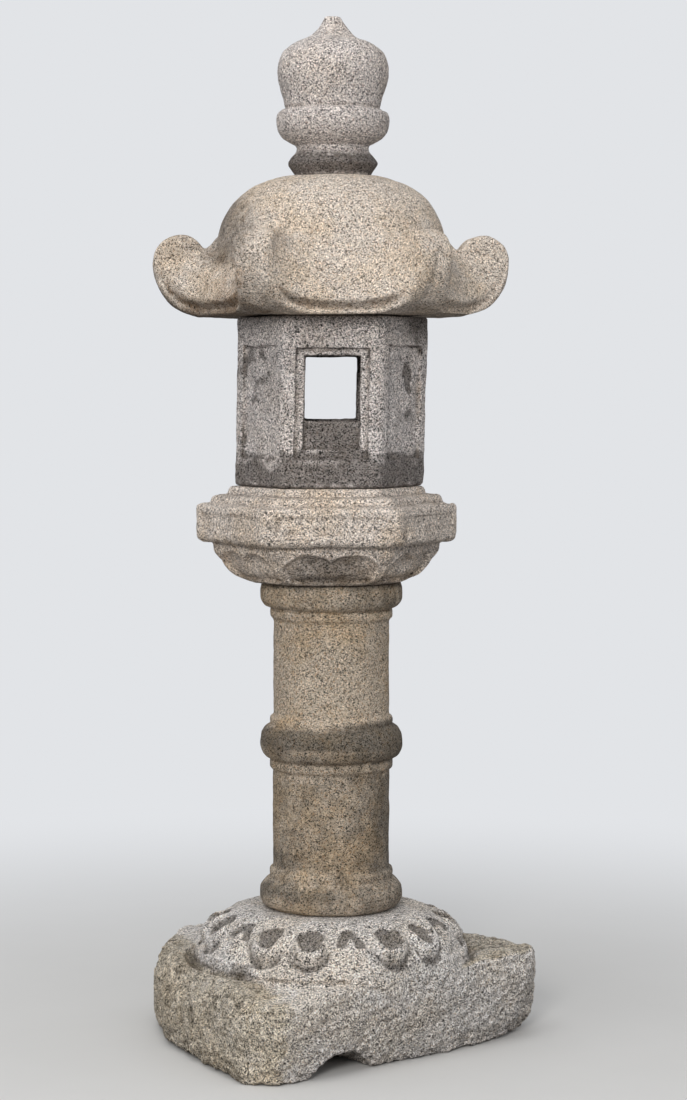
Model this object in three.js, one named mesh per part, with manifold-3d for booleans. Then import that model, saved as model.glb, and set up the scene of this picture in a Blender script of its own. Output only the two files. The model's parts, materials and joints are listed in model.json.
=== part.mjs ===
// Stone garden lantern of the kasuga type: six carved granite stones set on each other dry.
// From the ground up they are the base, shaft, platform, firebox, roof and finial. Stub tenons cut
// from the stones themselves sit in round sockets and keep the stack in line.
//
// Millimetres. +Z is up, the front window faces -Y, and a corner of each hexagon points along +X.
// The origin is on the ground, under the axis of the shaft.

import * as THREE from "three";
import { mergeVertices } from "three/addons/utils/BufferGeometryUtils.js";
import Module from "manifold-3d";

const wasm = await Module();
wasm.setup();

// ---------------------------------------------------------------------------------------------
// Driving dimensions
// ---------------------------------------------------------------------------------------------

const SEAM = 0.3; // open seam between two stones
const SIDES = 6;
const SECTOR = (2 * Math.PI) / SIDES;
const ROUND = 36; // segments around a turned stone
const ROUND_SMALL = 24; // segments around a tenon or a socket

// Heights of the seats, where one stone rests on the next.
const BLOCK_TOP = 150;
const SHAFT_SEAT = 240;
const PLATFORM_SEAT = 815;
const FIREBOX_SEAT = 984;
const ROOF_SEAT = 1283;
const FINIAL_SEAT = 1533;
const TOP = 1817;

// Tenons and the sockets that hold them.
const TENON_RADIUS = 50;
const TENON_LENGTH = 55;
const FINIAL_TENON_RADIUS = 34;
const SOCKET_CLEARANCE = 5;

// Base: a rough block under a round lotus dome with a ring of double petals.
const DOME_FOOT_RADIUS = 236;
const DOME_TOP_RADIUS = 140;
const DOME_SINK = 20; // depth to which the dome's foot runs down into the block
const PETAL_RELIEF = 6;
const PETAL_FADE = { radius: 40, height: 25 }; // over which the relief dies away at its edges
const PETAL_TURN = THREE.MathUtils.degToRad(8);
const BLOCK_BEVEL = 22;
const BLOCK_SPLAY = 0.05; // the block's foot is worn in by this share of its width
const ARCH = { x: 18, y: -246, height: 36, halfWidth: 56, depth: 130, turn: 40 };

// Shaft: a plain post with three rounded rings, and beads beside the rings.
const SHAFT_RADIUS = 103;
const BEAD_RADIUS = 108.5;
const RING_RADIUS = 126.5;
const RING_EDGE = 12; // the rounding of a ring's edge
const SHAFT_FOOT_RADIUS = 117;
const FOOT_RING = { z: 264, half: 22 };
const MIDDLE_RING = { z: 532, half: 31 };
const HEAD_RING = { z: 790, half: 23 };
const BEADS = [
  { low: 484, high: 502, neckBelow: true },
  { low: 564, high: 578, neckBelow: false },
  { low: 745, high: 764, neckBelow: true },
];
const BEAD_SLOPE = 6; // height in which a bead meets the plain post
const FOOT_NECK = { shoulder: 290, bead: 300, post: 309 }; // heights above the foot ring

// Platform: vertex radii of the hexagonal steps, from the top down.
const TOP_STEP_RADIUS = 178;
const MIDDLE_STEP_RADIUS = 206;
const SLAB_RADIUS = 234;
const SLAB_WEAR = 7; // how far its edges are worn back
const STEP_WEAR = 5;
const STEP_TOP = 968.5;
const SLAB_TOP = 953;
const SLAB_UNDERSIDE = 885;
const LAP = 5; // how far two shapes of one stone run into each other
const BOWL_TOP_RADIUS = 208;
const BOWL_FOOT_RADIUS = 130;
const BOWL_SWELL = 16; // how far the bowl's belly reaches out past a straight flare
const PLATFORM_SHIFT = -8; // the hexagons are carved a little off the shaft's axis
const PLATFORM_TURN = THREE.MathUtils.degToRad(2.3);

// Firebox.
const FIREBOX_RADIUS = 172;
const FIREBOX_WEAR = 4;
const CHAMBER_RADIUS = 112;
const WINDOW = { width: 94, bottom: 1101, top: 1213 };
const SILL_PANEL = { width: 94, bottom: 1053, top: 1213, depth: 16 };
const WINDOW_FRAME = { width: 126, bottom: 1036, top: 1226, depth: 7 };
const SIDE_PANEL = { width: 118, bottom: 1036, top: 1230, depth: 6 };

// Roof.
const EAVE_APOTHEM = 250; // to the middle of an eave
const EAVE_RISE = 34; // an eave's corner over its middle
const EAVE_HEIGHT = 1307; // of the upper edge of an eave at its middle
const EAVE_RIM = { inset: 11, height: 9 }; // the thin rim under the eave's undercut face
const EAVE_SWEEP = [ // from the eave up to the dome: inset from the eave, height over its edge
  { inset: 18, height: 32 },
  { inset: 34, height: 66 },
];
const SOFFIT_APOTHEM = 206;
const DOME_RADIUS = 204;
const DOME_BASE = 1400;
const DOME_FULLNESS = 0.8; // 1 gives an ellipse, less gives fuller shoulders
const DOME_SHOULDER = 66; // degrees up the dome at which its flat crown starts
const SCROLL_WIDTH = 66;
const SCROLL_RADIUS = 48;
const SCROLL_CENTRE = { r: 268.5, z: 1381 };
const SCROLL_BELLY = { r: 212, z: 1389, radius: 104.5 };
const SCROLL_NOTCH = { r: 206, z: 1424 }; // where the curl's back meets the dome
const SCROLL_BEVEL = 5;
const ROOF_TURN = THREE.MathUtils.degToRad(4);

// Finial.
const FINIAL_SHIFT = 3; // it stands a little off the axis, within its socket's clearance

// ---------------------------------------------------------------------------------------------
// Helpers
// ---------------------------------------------------------------------------------------------

// A closed geometry as a manifold-3d solid, with its shared corners merged.
function solid(geometry) {
  const bare = geometry.clone();
  bare.deleteAttribute("normal");
  bare.deleteAttribute("uv");
  const merged = mergeVertices(bare, 1e-3);
  return new wasm.Manifold(
    new wasm.Mesh({
      numProp: 3,
      vertProperties: new Float32Array(merged.attributes.position.array),
      triVerts: new Uint32Array(merged.index.array),
    }),
  );
}

// The named mesh of one stone.
function stone(name, body, color, roughness) {
  const { numProp, vertProperties, triVerts } = body.getMesh();
  const geometry = new THREE.BufferGeometry();
  geometry.setAttribute("position", new THREE.BufferAttribute(vertProperties, numProp));
  geometry.setIndex(new THREE.BufferAttribute(triVerts, 1));
  geometry.computeVertexNormals();
  const material = new THREE.MeshStandardMaterial({ color, roughness, metalness: 0 });
  const mesh = new THREE.Mesh(geometry, material);
  mesh.name = name;
  return mesh;
}

// A profile of [radius, height] points turned about Z. A hexagon has a corner on +X.
function turned(profile, segments = ROUND) {
  const points = profile.map(([radius, height]) => new THREE.Vector2(radius, height));
  return new THREE.LatheGeometry(points, segments, Math.PI / 2).rotateX(Math.PI / 2);
}

// Points of an arc in a profile. Angles are in degrees, from outward (0) to up (90).
function arc(radius, height, size, from, to, steps, sizeUp = size) {
  return Array.from({ length: steps + 1 }, (_, i) => {
    const angle = THREE.MathUtils.degToRad(from + ((to - from) * i) / steps);
    return [radius + size * Math.cos(angle), height + sizeUp * Math.sin(angle)];
  });
}

// Moves each vertex in or out: reshape(radius, angle, height) gives its new [radius, height].
function reshaped(geometry, reshape) {
  const position = geometry.attributes.position;
  for (let i = 0; i < position.count; i++) {
    const x = position.getX(i);
    const y = position.getY(i);
    const angle = Math.atan2(y, x);
    const [radius, height] = reshape(Math.hypot(x, y), angle, position.getZ(i));
    position.setXYZ(i, radius * Math.cos(angle), radius * Math.sin(angle), height);
  }
  return geometry;
}

// Angle from the middle of the nearest side of a hexagon that has a corner on +X.
function fromMidSide(angle) {
  return angle - SECTOR * (Math.floor(angle / SECTOR) + 0.5);
}

function smooth(value, low, high) {
  return THREE.MathUtils.smoothstep(value, low, high);
}

function cylinder(radius, low, high, segments = ROUND_SMALL) {
  const geometry = new THREE.CylinderGeometry(radius, radius, high - low, segments);
  return solid(geometry.rotateX(Math.PI / 2).translate(0, 0, (low + high) / 2));
}

function box(width, low, high, nearY, farY) {
  const geometry = new THREE.BoxGeometry(width, farY - nearY, high - low);
  return geometry.translate(0, (nearY + farY) / 2, (low + high) / 2);
}

// The round socket that takes a tenon, open upwards or downwards at its seat.
function socket(tenonRadius, seat, inward) {
  const floor = seat + inward * (TENON_LENGTH + SOCKET_CLEARANCE);
  const mouth = seat - inward * SOCKET_CLEARANCE;
  return cylinder(tenonRadius + SOCKET_CLEARANCE, Math.min(floor, mouth), Math.max(floor, mouth));
}

// ---------------------------------------------------------------------------------------------
// Base
// ---------------------------------------------------------------------------------------------

// The rough block, about 680 by 690 mm, with worn edges all round.
function roughBlock() {
  const corners = [
    [-92, -318],
    [-38, -282],
    [158, -128],
    [322, 12],
    [344, 70],
    [320, 138],
    [225, 220],
    [105, 300],
    [-60, 328],
    [-190, 308],
    [-264, 248],
    [-298, 110],
    [-276, -40],
    [-196, -204],
    [-143, -298],
  ].map(([x, y]) => new THREE.Vector2(x, y));
  const block = new THREE.ExtrudeGeometry(new THREE.Shape(corners), {
    depth: BLOCK_TOP - 2 * BLOCK_BEVEL,
    bevelThickness: BLOCK_BEVEL,
    bevelSize: BLOCK_BEVEL,
    bevelSegments: 3,
  });
  return solid(
    reshaped(block.translate(0, 0, BLOCK_BEVEL), (radius, angle, z) => {
      return [radius * (1 - BLOCK_SPLAY * (1 - smooth(z, 0, BLOCK_TOP / 2))), z];
    }),
  );
}

// The lotus dome: six double petals bulge from it, with a groove between neighbouring lobes.
function lotusDome() {
  const height = SHAFT_SEAT - BLOCK_TOP;
  const profile = [
    [0, BLOCK_TOP - DOME_SINK],
    [DOME_FOOT_RADIUS, BLOCK_TOP - DOME_SINK],
    ...arc(DOME_TOP_RADIUS, BLOCK_TOP, DOME_FOOT_RADIUS - DOME_TOP_RADIUS, 0, 90, 7, height),
    [0, SHAFT_SEAT],
  ];
  return solid(
    reshaped(turned(profile, 2 * ROUND), (radius, angle, z) => {
      const outward = smooth(radius, DOME_TOP_RADIUS, DOME_TOP_RADIUS + PETAL_FADE.radius);
      const onPetals = outward * smooth(z, BLOCK_TOP, BLOCK_TOP + PETAL_FADE.height);
      const lobes = Math.abs(Math.cos(SIDES * (angle - PETAL_TURN)));
      return [radius + onPetals * PETAL_RELIEF * (lobes - 1), z];
    }),
  );
}

// The gap that the rough underside leaves over the ground, under the right side of the front.
function groundArch() {
  const gap = new THREE.CylinderGeometry(ARCH.halfWidth, ARCH.halfWidth, ARCH.depth, ROUND_SMALL);
  gap.scale(1, 1, ARCH.height / ARCH.halfWidth);
  gap.rotateZ(THREE.MathUtils.degToRad(ARCH.turn));
  return solid(gap.translate(ARCH.x, ARCH.y, 0));
}

function base() {
  const body = roughBlock().add(lotusDome());
  return body.subtract(groundArch()).subtract(socket(TENON_RADIUS, SHAFT_SEAT, -1));
}

// ---------------------------------------------------------------------------------------------
// Shaft
// ---------------------------------------------------------------------------------------------

// The outline of a rounded ring between two angles of its edge arc.
function ring({ z, half }, from, to) {
  return arc(RING_RADIUS - RING_EDGE, z, RING_EDGE, from, to, 5, half);
}

// The outline of a bead, with the plain post below it or above it.
function bead({ low, high, neckBelow }) {
  return neckBelow
    ? [[SHAFT_RADIUS, low], [BEAD_RADIUS, low + BEAD_SLOPE], [BEAD_RADIUS, high]]
    : [[BEAD_RADIUS, low], [BEAD_RADIUS, high - BEAD_SLOPE], [SHAFT_RADIUS, high]];
}

function shaft() {
  const foot = SHAFT_SEAT + SEAM;
  const head = PLATFORM_SEAT - SEAM;
  return solid(
    turned([
      [0, foot - TENON_LENGTH],
      [TENON_RADIUS, foot - TENON_LENGTH],
      [TENON_RADIUS, foot],
      [SHAFT_FOOT_RADIUS, foot],
      ...ring(FOOT_RING, -60, 60),
      [BEAD_RADIUS + 3, FOOT_NECK.shoulder],
      [BEAD_RADIUS, FOOT_NECK.bead],
      [SHAFT_RADIUS, FOOT_NECK.post],
      ...bead(BEADS[0]),
      ...ring(MIDDLE_RING, -70, 70),
      ...bead(BEADS[1]),
      ...bead(BEADS[2]),
      ...ring(HEAD_RING, -70, 60),
      [RING_RADIUS - RING_EDGE, head],
      [TENON_RADIUS, head],
      [TENON_RADIUS, head + TENON_LENGTH],
      [0, head + TENON_LENGTH],
    ]),
  );
}

// ---------------------------------------------------------------------------------------------
// Platform
// ---------------------------------------------------------------------------------------------

// A hexagonal slab with worn upper and lower edges.
function hexSlab(radius, low, high, wear) {
  return solid(
    turned(
      [
        [0, low],
        [radius - wear, low],
        [radius, low + wear],
        [radius, high - wear],
        [radius - wear, high],
        [0, high],
      ],
      SIDES,
    ),
  );
}

// The lotus bowl: six-sided where it meets the slab and round at its foot.
function lotusBowl() {
  const foot = PLATFORM_SEAT;
  const belly = new THREE.QuadraticBezierCurve(
    new THREE.Vector2(BOWL_FOOT_RADIUS, foot),
    new THREE.Vector2(BOWL_TOP_RADIUS - BOWL_SWELL, foot + BOWL_SWELL),
    new THREE.Vector2(BOWL_TOP_RADIUS, SLAB_UNDERSIDE),
  );
  const profile = [
    [0, foot],
    ...belly.getPoints(7).map((point) => [point.x, point.y]),
    [BOWL_TOP_RADIUS, SLAB_UNDERSIDE + LAP],
    [0, SLAB_UNDERSIDE + LAP],
  ];
  const apothem = Math.cos(SECTOR / 2);
  return solid(
    reshaped(turned(profile), (radius, angle, z) => {
      const hexagon = apothem / Math.cos(fromMidSide(angle));
      const share = smooth(z, foot, SLAB_UNDERSIDE);
      return [radius * THREE.MathUtils.lerp(1, hexagon, share), z];
    }),
  );
}

function platform() {
  return hexSlab(TOP_STEP_RADIUS, SLAB_TOP, FIREBOX_SEAT, SLAB_WEAR)
    .add(hexSlab(MIDDLE_STEP_RADIUS, SLAB_TOP - LAP, STEP_TOP, STEP_WEAR))
    .add(hexSlab(SLAB_RADIUS, SLAB_UNDERSIDE, SLAB_TOP, SLAB_WEAR))
    .add(lotusBowl())
    .rotate([0, 0, THREE.MathUtils.radToDeg(PLATFORM_TURN)])
    .translate([PLATFORM_SHIFT, 0, 0])
    .subtract(socket(TENON_RADIUS, PLATFORM_SEAT, 1));
}

// ---------------------------------------------------------------------------------------------
// Firebox
// ---------------------------------------------------------------------------------------------

// A box cut into one side of the firebox, from outside it down to the stated depth.
function sideCut({ width, bottom, top, depth }, side) {
  const apothem = FIREBOX_RADIUS * Math.cos(SECTOR / 2);
  const cut = box(width, bottom, top, -apothem - LAP, -apothem + depth);
  return solid(cut.rotateZ(side * SECTOR));
}

function firebox() {
  const low = FIREBOX_SEAT + SEAM;
  const high = ROOF_SEAT - SEAM;
  const window = { ...WINDOW, depth: 2 * FIREBOX_RADIUS };
  let body = hexSlab(FIREBOX_RADIUS, low, high, FIREBOX_WEAR)
    .subtract(cylinder(CHAMBER_RADIUS, low - LAP, high + LAP, ROUND))
    .subtract(sideCut(window, 0));
  for (let side = 0; side < SIDES; side++) {
    const windowed = side % (SIDES / 2) === 0;
    const cuts = windowed ? [WINDOW_FRAME, SILL_PANEL] : [SIDE_PANEL];
    for (const cut of cuts) body = body.subtract(sideCut(cut, side));
  }
  return body;
}

// ---------------------------------------------------------------------------------------------
// Roof
// ---------------------------------------------------------------------------------------------

// The dome with its six eaves. Above the eaves it is round; the eaves are straight in plan and
// rise towards the corners.
function domeWithEaves() {
  const eave = EAVE_APOTHEM;
  const rise = FINIAL_SEAT - DOME_BASE;
  const crown = arc(0, 0, 1, 0, DOME_SHOULDER, 7).map(([cos, sin]) => {
    return [DOME_RADIUS * cos ** DOME_FULLNESS, DOME_BASE + rise * sin ** DOME_FULLNESS];
  });
  const profile = [
    [0, ROOF_SEAT],
    [SOFFIT_APOTHEM, ROOF_SEAT],
    [eave - EAVE_RIM.inset, ROOF_SEAT],
    [eave - EAVE_RIM.inset, ROOF_SEAT + EAVE_RIM.height],
    [eave, EAVE_HEIGHT],
    ...EAVE_SWEEP.map(({ inset, height }) => [eave - inset, EAVE_HEIGHT + height]),
    ...crown,
    [FINIAL_TENON_RADIUS * 2, FINIAL_SEAT],
    [0, FINIAL_SEAT],
  ];
  return solid(
    reshaped(turned(profile, 2 * ROUND), (radius, angle, z) => {
      const corner = 1 / Math.cos(fromMidSide(angle));
      const towardsCorner = (corner - 1) / (1 / Math.cos(SECTOR / 2) - 1);
      const sixSided = z > ROOF_SEAT ? smooth(radius, DOME_RADIUS + LAP, eave) : 1;
      const lift = z < DOME_BASE ? smooth(radius, SOFFIT_APOTHEM, eave - EAVE_RIM.inset) : 0;
      return [radius * THREE.MathUtils.lerp(1, corner, sixSided), z + EAVE_RISE * towardsCorner * lift];
    }),
  );
}

// A corner scroll, seen from its side: a belly arc under it runs into the round curl, and behind the
// curl a notch parts it from the dome.
function cornerScroll(index) {
  const { r, z } = SCROLL_CENTRE;
  const belly = SCROLL_BELLY;
  const low = belly.z - belly.radius;
  const root = DOME_RADIUS - SCROLL_WIDTH; // inside the dome
  const outline = new THREE.Shape();
  outline.moveTo(root, low);
  outline.lineTo(belly.r, low);
  outline.absarc(belly.r, belly.z, belly.radius, -Math.PI / 2, -0.15, false);
  outline.absarc(r, z, SCROLL_RADIUS, -0.1, 0.82 * Math.PI, false);
  outline.lineTo(SCROLL_NOTCH.r, SCROLL_NOTCH.z);
  outline.lineTo(root, SCROLL_NOTCH.z);
  const curl = new THREE.ExtrudeGeometry(outline, {
    depth: SCROLL_WIDTH - 2 * SCROLL_BEVEL,
    curveSegments: 6,
    bevelThickness: SCROLL_BEVEL,
    bevelSize: SCROLL_BEVEL,
    bevelOffset: -SCROLL_BEVEL,
    bevelSegments: 1,
  });
  curl.translate(0, 0, SCROLL_BEVEL - SCROLL_WIDTH / 2).rotateX(Math.PI / 2);
  return solid(curl.rotateZ(index * SECTOR));
}

function roof() {
  let body = domeWithEaves();
  for (let corner = 0; corner < SIDES; corner++) body = body.add(cornerScroll(corner));
  return body
    .rotate([0, 0, THREE.MathUtils.radToDeg(ROOF_TURN)])
    .subtract(socket(FINIAL_TENON_RADIUS, FINIAL_SEAT, -1));
}

// ---------------------------------------------------------------------------------------------
// Finial
// ---------------------------------------------------------------------------------------------

function finial() {
  const foot = FINIAL_SEAT + SEAM;
  const jewel = new THREE.SplineCurve(
    [
      [86, 1658],
      [95, 1690],
      [99, 1722],
      [95, 1742],
      [82, 1758],
      [60, 1772],
      [40, 1781],
      [25, 1800],
      [15, TOP],
    ].map(([radius, height]) => new THREE.Vector2(radius, height)),
  );
  const profile = [
    [0, foot - TENON_LENGTH],
    [FINIAL_TENON_RADIUS, foot - TENON_LENGTH],
    [FINIAL_TENON_RADIUS, foot],
    [68, foot],
    [80, 1553],
    [78, 1560],
    [66, 1576],
    [66, 1588],
    ...arc(66, 1620, 36, -70, 65, 7, 30),
    ...jewel.getPoints(14).map((point) => [point.x, point.y]),
    [0, TOP],
  ];
  return solid(turned(profile)).translate([FINIAL_SHIFT, 0, 0]);
}

// ---------------------------------------------------------------------------------------------
// The lantern
// ---------------------------------------------------------------------------------------------

const lantern = new THREE.Group();
lantern.add(
  stone("base", base(), 0x9a948a, 0.95),
  stone("shaft", shaft(), 0xa39680, 0.92),
  stone("platform", platform(), 0xa89f92, 0.93),
  stone("firebox", firebox(), 0x8d8782, 0.95),
  stone("roof", roof(), 0xb5a58c, 0.92),
  stone("finial", finial(), 0xa39c93, 0.94),
);

export default lantern;
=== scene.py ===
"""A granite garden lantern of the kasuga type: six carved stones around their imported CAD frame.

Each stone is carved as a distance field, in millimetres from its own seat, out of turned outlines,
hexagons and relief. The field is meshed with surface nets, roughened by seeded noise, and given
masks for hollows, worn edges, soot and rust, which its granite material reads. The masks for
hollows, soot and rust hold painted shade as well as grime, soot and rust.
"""
import json
import math

import bpy
import numpy as np
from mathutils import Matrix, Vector

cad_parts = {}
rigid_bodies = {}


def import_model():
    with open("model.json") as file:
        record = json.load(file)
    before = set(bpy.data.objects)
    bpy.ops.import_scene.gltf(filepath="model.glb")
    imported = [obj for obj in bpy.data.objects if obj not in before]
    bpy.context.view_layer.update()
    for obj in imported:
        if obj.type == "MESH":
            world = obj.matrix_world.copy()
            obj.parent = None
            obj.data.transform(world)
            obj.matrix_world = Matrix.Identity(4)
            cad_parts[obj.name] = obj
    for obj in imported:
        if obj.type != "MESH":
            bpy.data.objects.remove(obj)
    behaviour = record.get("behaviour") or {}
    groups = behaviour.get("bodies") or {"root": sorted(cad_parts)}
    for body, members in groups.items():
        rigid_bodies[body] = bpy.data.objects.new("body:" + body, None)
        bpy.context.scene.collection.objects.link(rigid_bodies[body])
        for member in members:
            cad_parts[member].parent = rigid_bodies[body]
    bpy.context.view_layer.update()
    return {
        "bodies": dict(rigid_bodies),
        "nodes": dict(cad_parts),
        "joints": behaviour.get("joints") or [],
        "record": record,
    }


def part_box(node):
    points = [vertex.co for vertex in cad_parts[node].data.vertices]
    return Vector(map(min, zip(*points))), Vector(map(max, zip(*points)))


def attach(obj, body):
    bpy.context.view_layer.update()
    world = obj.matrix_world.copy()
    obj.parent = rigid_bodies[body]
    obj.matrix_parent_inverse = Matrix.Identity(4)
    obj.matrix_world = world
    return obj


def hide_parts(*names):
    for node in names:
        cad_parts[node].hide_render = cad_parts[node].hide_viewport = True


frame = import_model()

MM = 1000.0
SEAM = 0.3  # open seam between two stones
COARSE = 1.0
SECTOR = math.radians(60)
CORNER = 1 / math.cos(SECTOR / 2)  # a hexagon's corner radius over its apothem
CORE = -60  # outlines of turned stones run past the axis, so that it is never a surface

# The tenons and sockets that the CAD has.
TENON_RADIUS = 50
TENON_LENGTH = 55
TENON_END = SEAM - TENON_LENGTH  # of a tenon below its stone, from the stone's seat
FINIAL_TENON_RADIUS = 34
SOCKET_CLEARANCE = 5
SOCKET_ROUNDING = 3

ROOF_TURN = math.radians(4)
PLATFORM_TURN = math.radians(2.3)


# --- Shapes -----------------------------------------------------------------------------------


def smooth_max(a, b, size):
    """The larger of two fields, which cuts one shape with another, blended over size millimetres."""
    near = np.maximum(size - np.abs(a - b), 0) / size
    return np.maximum(a, b) + near * near * size / 4


def smooth_min(a, b, size):
    """The smaller of two fields, which joins two shapes."""
    return -smooth_max(-a, -b, size)


def ramp(value, low, high):
    """0 below low, 1 above high, and a smooth step between them. Low may be the larger one."""
    share = np.clip((value - low) / (high - low), 0, 1)
    return share * share * (3 - 2 * share)


def bell(value, middle, width, power=2):
    """1 at the middle, falling away on both sides over about width. A higher power has a flatter top."""
    return np.exp(-((value - middle) / width) ** power)


def arc(radius, height, size, start, end, steps=10, size_up=None):
    """Points of an arc of an outline. Angles are in degrees, from outward (0) to up (90)."""
    angles = np.radians(np.linspace(start, end, steps + 1))
    up = size if size_up is None else size_up
    return [(radius + size * math.cos(a), height + up * math.sin(a)) for a in angles]


def curve(points, steps=5):
    """A smooth (Catmull-Rom) line through a few outline points."""
    line = []
    ends = [points[0], *points, points[-1]]
    for before, start, end, after in zip(ends, ends[1:], ends[2:], ends[3:]):
        for t in np.arange(steps) / steps:
            line.append(tuple(
                0.5 * (2 * s + (e - b) * t + (2 * b - 5 * s + 4 * e - a) * t * t
                       + (3 * s - b - 3 * e + a) * t ** 3)
                for b, s, e, a in zip(before, start, end, after)
            ))
    return line + [points[-1]]


def outline_distance(points, u, v):
    """Distance from (u, v) to a closed outline, negative inside it."""
    shape = np.broadcast(u, v).shape
    nearest = np.full(shape, np.inf, np.float32)
    inside = np.zeros(shape, bool)
    for (u0, v0), (u1, v1) in zip(points, points[1:] + points[:1]):
        du, dv = u1 - u0, v1 - v0
        length = du * du + dv * dv
        if length < 1e-9:
            continue
        share = np.clip(((u - u0) * du + (v - v0) * dv) / length, 0, 1)
        nearest = np.minimum(nearest, np.hypot(u - u0 - share * du, v - v0 - share * dv))
        if v0 != v1:
            inside ^= ((v0 > v) != (v1 > v)) & (u < u0 + (v - v0) * du / dv)
    return np.where(inside, -nearest, nearest).astype(np.float32)


def turned(outline, radius, height):
    """Distance to the solid that an outline of (radius, height) points makes round the axis."""
    step = 1.0
    low = float(height.min()) - step
    radii = np.arange(0, float(radius.max()) + 2 * step, step, dtype=np.float32)
    heights = np.arange(low, float(height.max()) + 2 * step, step, dtype=np.float32)
    table = outline_distance(outline, radii[:, None], heights[None, :])
    u, v = radius / step, (height - low) / step
    i, j = u.astype(np.int32), v.astype(np.int32)
    a, b = (u - i).astype(np.float32), (v - j).astype(np.float32)
    near = table[i, j] * (1 - b) + table[i, j + 1] * b
    far = table[i + 1, j] * (1 - b) + table[i + 1, j + 1] * b
    return near * (1 - a) + far * a


def hexagon(x, y, turn, rounding):
    """Distance from the axis, measured square to the sides of a hexagon with a corner on +X."""
    reach = None
    for side in range(3):
        angle = turn + (side + 0.5) * SECTOR
        across = np.abs(x * math.cos(angle) + y * math.sin(angle))
        reach = across if reach is None else smooth_max(reach, across, rounding)
    return reach


def folded(x, y, first):
    """(outward, sideways) of a point, measured from the nearest of six directions."""
    angle = np.arctan2(y, x) - first
    angle = angle - SECTOR * np.round(angle / SECTOR)
    radius = np.hypot(x, y)
    return radius * np.cos(angle), radius * np.sin(angle)


def rectangle(aside, z, shape, blend=0):
    """Distance to an upright rectangle, given as its half width, middle height and half height."""
    half_width, middle, half_height = shape
    across, up = np.abs(aside) - half_width, np.abs(z - middle) - half_height
    return smooth_max(across, up, blend) if blend else np.maximum(across, up)


# --- Noise ------------------------------------------------------------------------------------

# Seeds are any whole numbers. Each stone has its own tens: 10 and 20 for the base up to 70 for the
# finial.

HASH_FACTORS = (374761393, 668265263, 1440662683, 974634777)  # for x, y, z and the seed
HASH_STIRS = ((13, 1274126177), (15, 2246822519))  # a shift and a factor, one pair after the other
WORD = 2 ** 32


def lattice(cell, seed):
    """A repeatable random number from 0 to 1 at each whole-number point."""
    n = sum(cell[:, axis] * HASH_FACTORS[axis] for axis in range(3)) + seed * HASH_FACTORS[3]
    n = n & (WORD - 1)
    for shift, factor in HASH_STIRS:
        n = ((n ^ (n >> shift)) * factor) & (WORD - 1)
    return (n ^ (n >> 16)) / WORD


def noise(points, size, seed):
    """Smooth noise from -1 to 1 whose bumps are about size millimetres across."""
    place = points / size
    cell = np.floor(place).astype(np.int64)
    share = place - cell
    share = share * share * (3 - 2 * share)
    total = np.zeros(len(points))
    for corner in range(8):
        offset = np.array([corner & 1, corner >> 1 & 1, corner >> 2 & 1])
        weight = np.prod(np.where(offset, share, 1 - share), axis=1)
        total += weight * lattice(cell + offset, seed)
    return 2 * total - 1


def rough(points, seed, *layers):
    """Noise of several (size, height) layers, in millimetres."""
    return sum(height * noise(points, size, seed + 17 * i) for i, (size, height) in enumerate(layers))


# --- From a field to a mesh -------------------------------------------------------------------

CELL = np.array([[i, j, k] for i in (0, 1) for j in (0, 1) for k in (0, 1)])  # a grid cell's corners
STEPS = np.eye(3, dtype=int)  # one cell along each axis
HOLLOW_REACHES = (7, 20)  # how far out of the surface a hollow is felt, in millimetres
EDGE_REACHES = (6, 14)  # how far into the stone an edge is felt
INSET = 0.05  # between the carved stone and its CAD node's box


def mesh_of(field, low, voxel):
    """Surface nets: a vertex in each cell that the surface passes through, and a quad across each
    grid line that it cuts."""
    inside = field < 0
    size = np.array(field.shape) - 1
    filled = sum(
        inside[i:size[0] + i, j:size[1] + j, k:size[2] + k].astype(np.int8) for i, j, k in CELL
    )
    active = (filled > 0) & (filled < 8)
    cells = np.argwhere(active)
    index = np.full(active.shape, -1, np.int64)
    index[active] = np.arange(len(cells))
    total, crossings = np.zeros((len(cells), 3)), np.zeros(len(cells))
    for start in CELL:
        for step in STEPS:
            if start @ step:
                continue
            one, other = field[tuple((cells + start).T)], field[tuple((cells + start + step).T)]
            cut = (one < 0) != (other < 0)
            share = np.where(cut, one / np.where(cut, one - other, 1), 0)
            total += cut[:, None] * (start + share[:, None] * step)
            crossings += cut
    points = low + voxel * (cells + total / crossings[:, None])
    quads = []
    for axis in range(3):
        u, v = STEPS[(axis + 1) % 3], STEPS[(axis + 2) % 3]
        ahead = np.moveaxis(inside, axis, 0)
        cut = np.moveaxis(ahead[:-1] != ahead[1:], 0, axis)
        edge = np.argwhere(cut)
        around = [index[tuple((edge - shift).T)] for shift in (0 * u, u, u + v, v)]
        quad = np.stack(around, axis=1)
        outward = inside[tuple(edge.T)]
        quads.append(np.where(outward[:, None], quad, quad[:, ::-1]))
    return points, np.concatenate(quads)


def normals_of(points, quads):
    """Each vertex's normal, from the quads round it."""
    a, b, c, d = (points[quads[:, corner]] for corner in range(4))
    facing = np.cross(c - a, d - b)
    total = np.zeros_like(points)
    for corner in range(4):
        for axis in range(3):
            total[:, axis] += np.bincount(quads[:, corner], facing[:, axis], len(points))
    return total / np.maximum(np.linalg.norm(total, axis=1), 1e-9)[:, None]


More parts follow.
